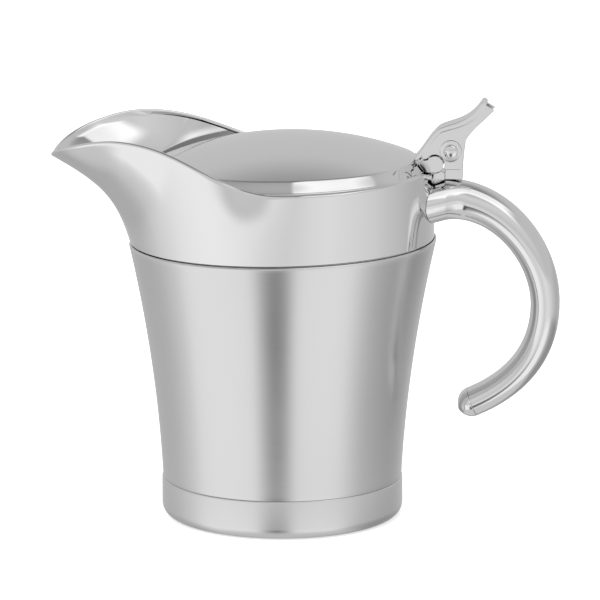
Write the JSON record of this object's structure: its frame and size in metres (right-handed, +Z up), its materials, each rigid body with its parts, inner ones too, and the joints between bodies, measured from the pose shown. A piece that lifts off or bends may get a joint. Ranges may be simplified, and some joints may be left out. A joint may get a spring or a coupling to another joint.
{
  "type": "gravy boat",
  "caption": "Double-walled steel gravy boat with a broad pouring lip, a bent tube handle and a domed lid that a thumb lever swings open.",
  "frame": {"origin": "centre of the flat base, on the surface that the gravy boat stands on", "axes": "+X from the body axis towards the handle, so the spout points to -X; +Y square to the plane of symmetry; +Z up the body axis"},
  "size_m": [0.1778, 0.1076, 0.1485],
  "materials": {
    "outer_shell": "satin",
    "base_cap": "satin",
    "inner_cup": "satin",
    "spout_collar": "mirror polished",
    "lid_dome": "mirror polished",
    "lid_bracket": "polished casting",
    "thumb_lever": "polished casting",
    "hinge_post": "polished casting",
    "post_brace": "polished",
    "hinge_pin": "polished",
    "washer_near": "polished",
    "washer_far": "polished",
    "handle_tube": "mirror polished",
    "handle_end_cap": "mirror polished"
  },
  "bodies": {
    "boat": {"outer_shell": "outer_shell", "base_cap": "base_cap", "inner_cup": "inner_cup", "spout_collar": "spout_collar", "handle_tube": "handle_tube", "handle_end_cap": "handle_end_cap", "hinge_post": "hinge_post", "post_brace": "post_brace"},
    "lid": {"lid_dome": "lid_dome", "lid_bracket": "lid_bracket", "thumb_lever": "thumb_lever", "hinge_pin": "hinge_pin", "washer_near": "washer_near", "washer_far": "washer_far"}
  },
  "joints": [
    {"name": "lid_hinge", "type": "hinge", "parent": "boat", "child": "lid", "pos_m": [0.0591, 0, 0.131], "axis": [0, 1, 0], "range_deg": [0, 88]}
  ]
}
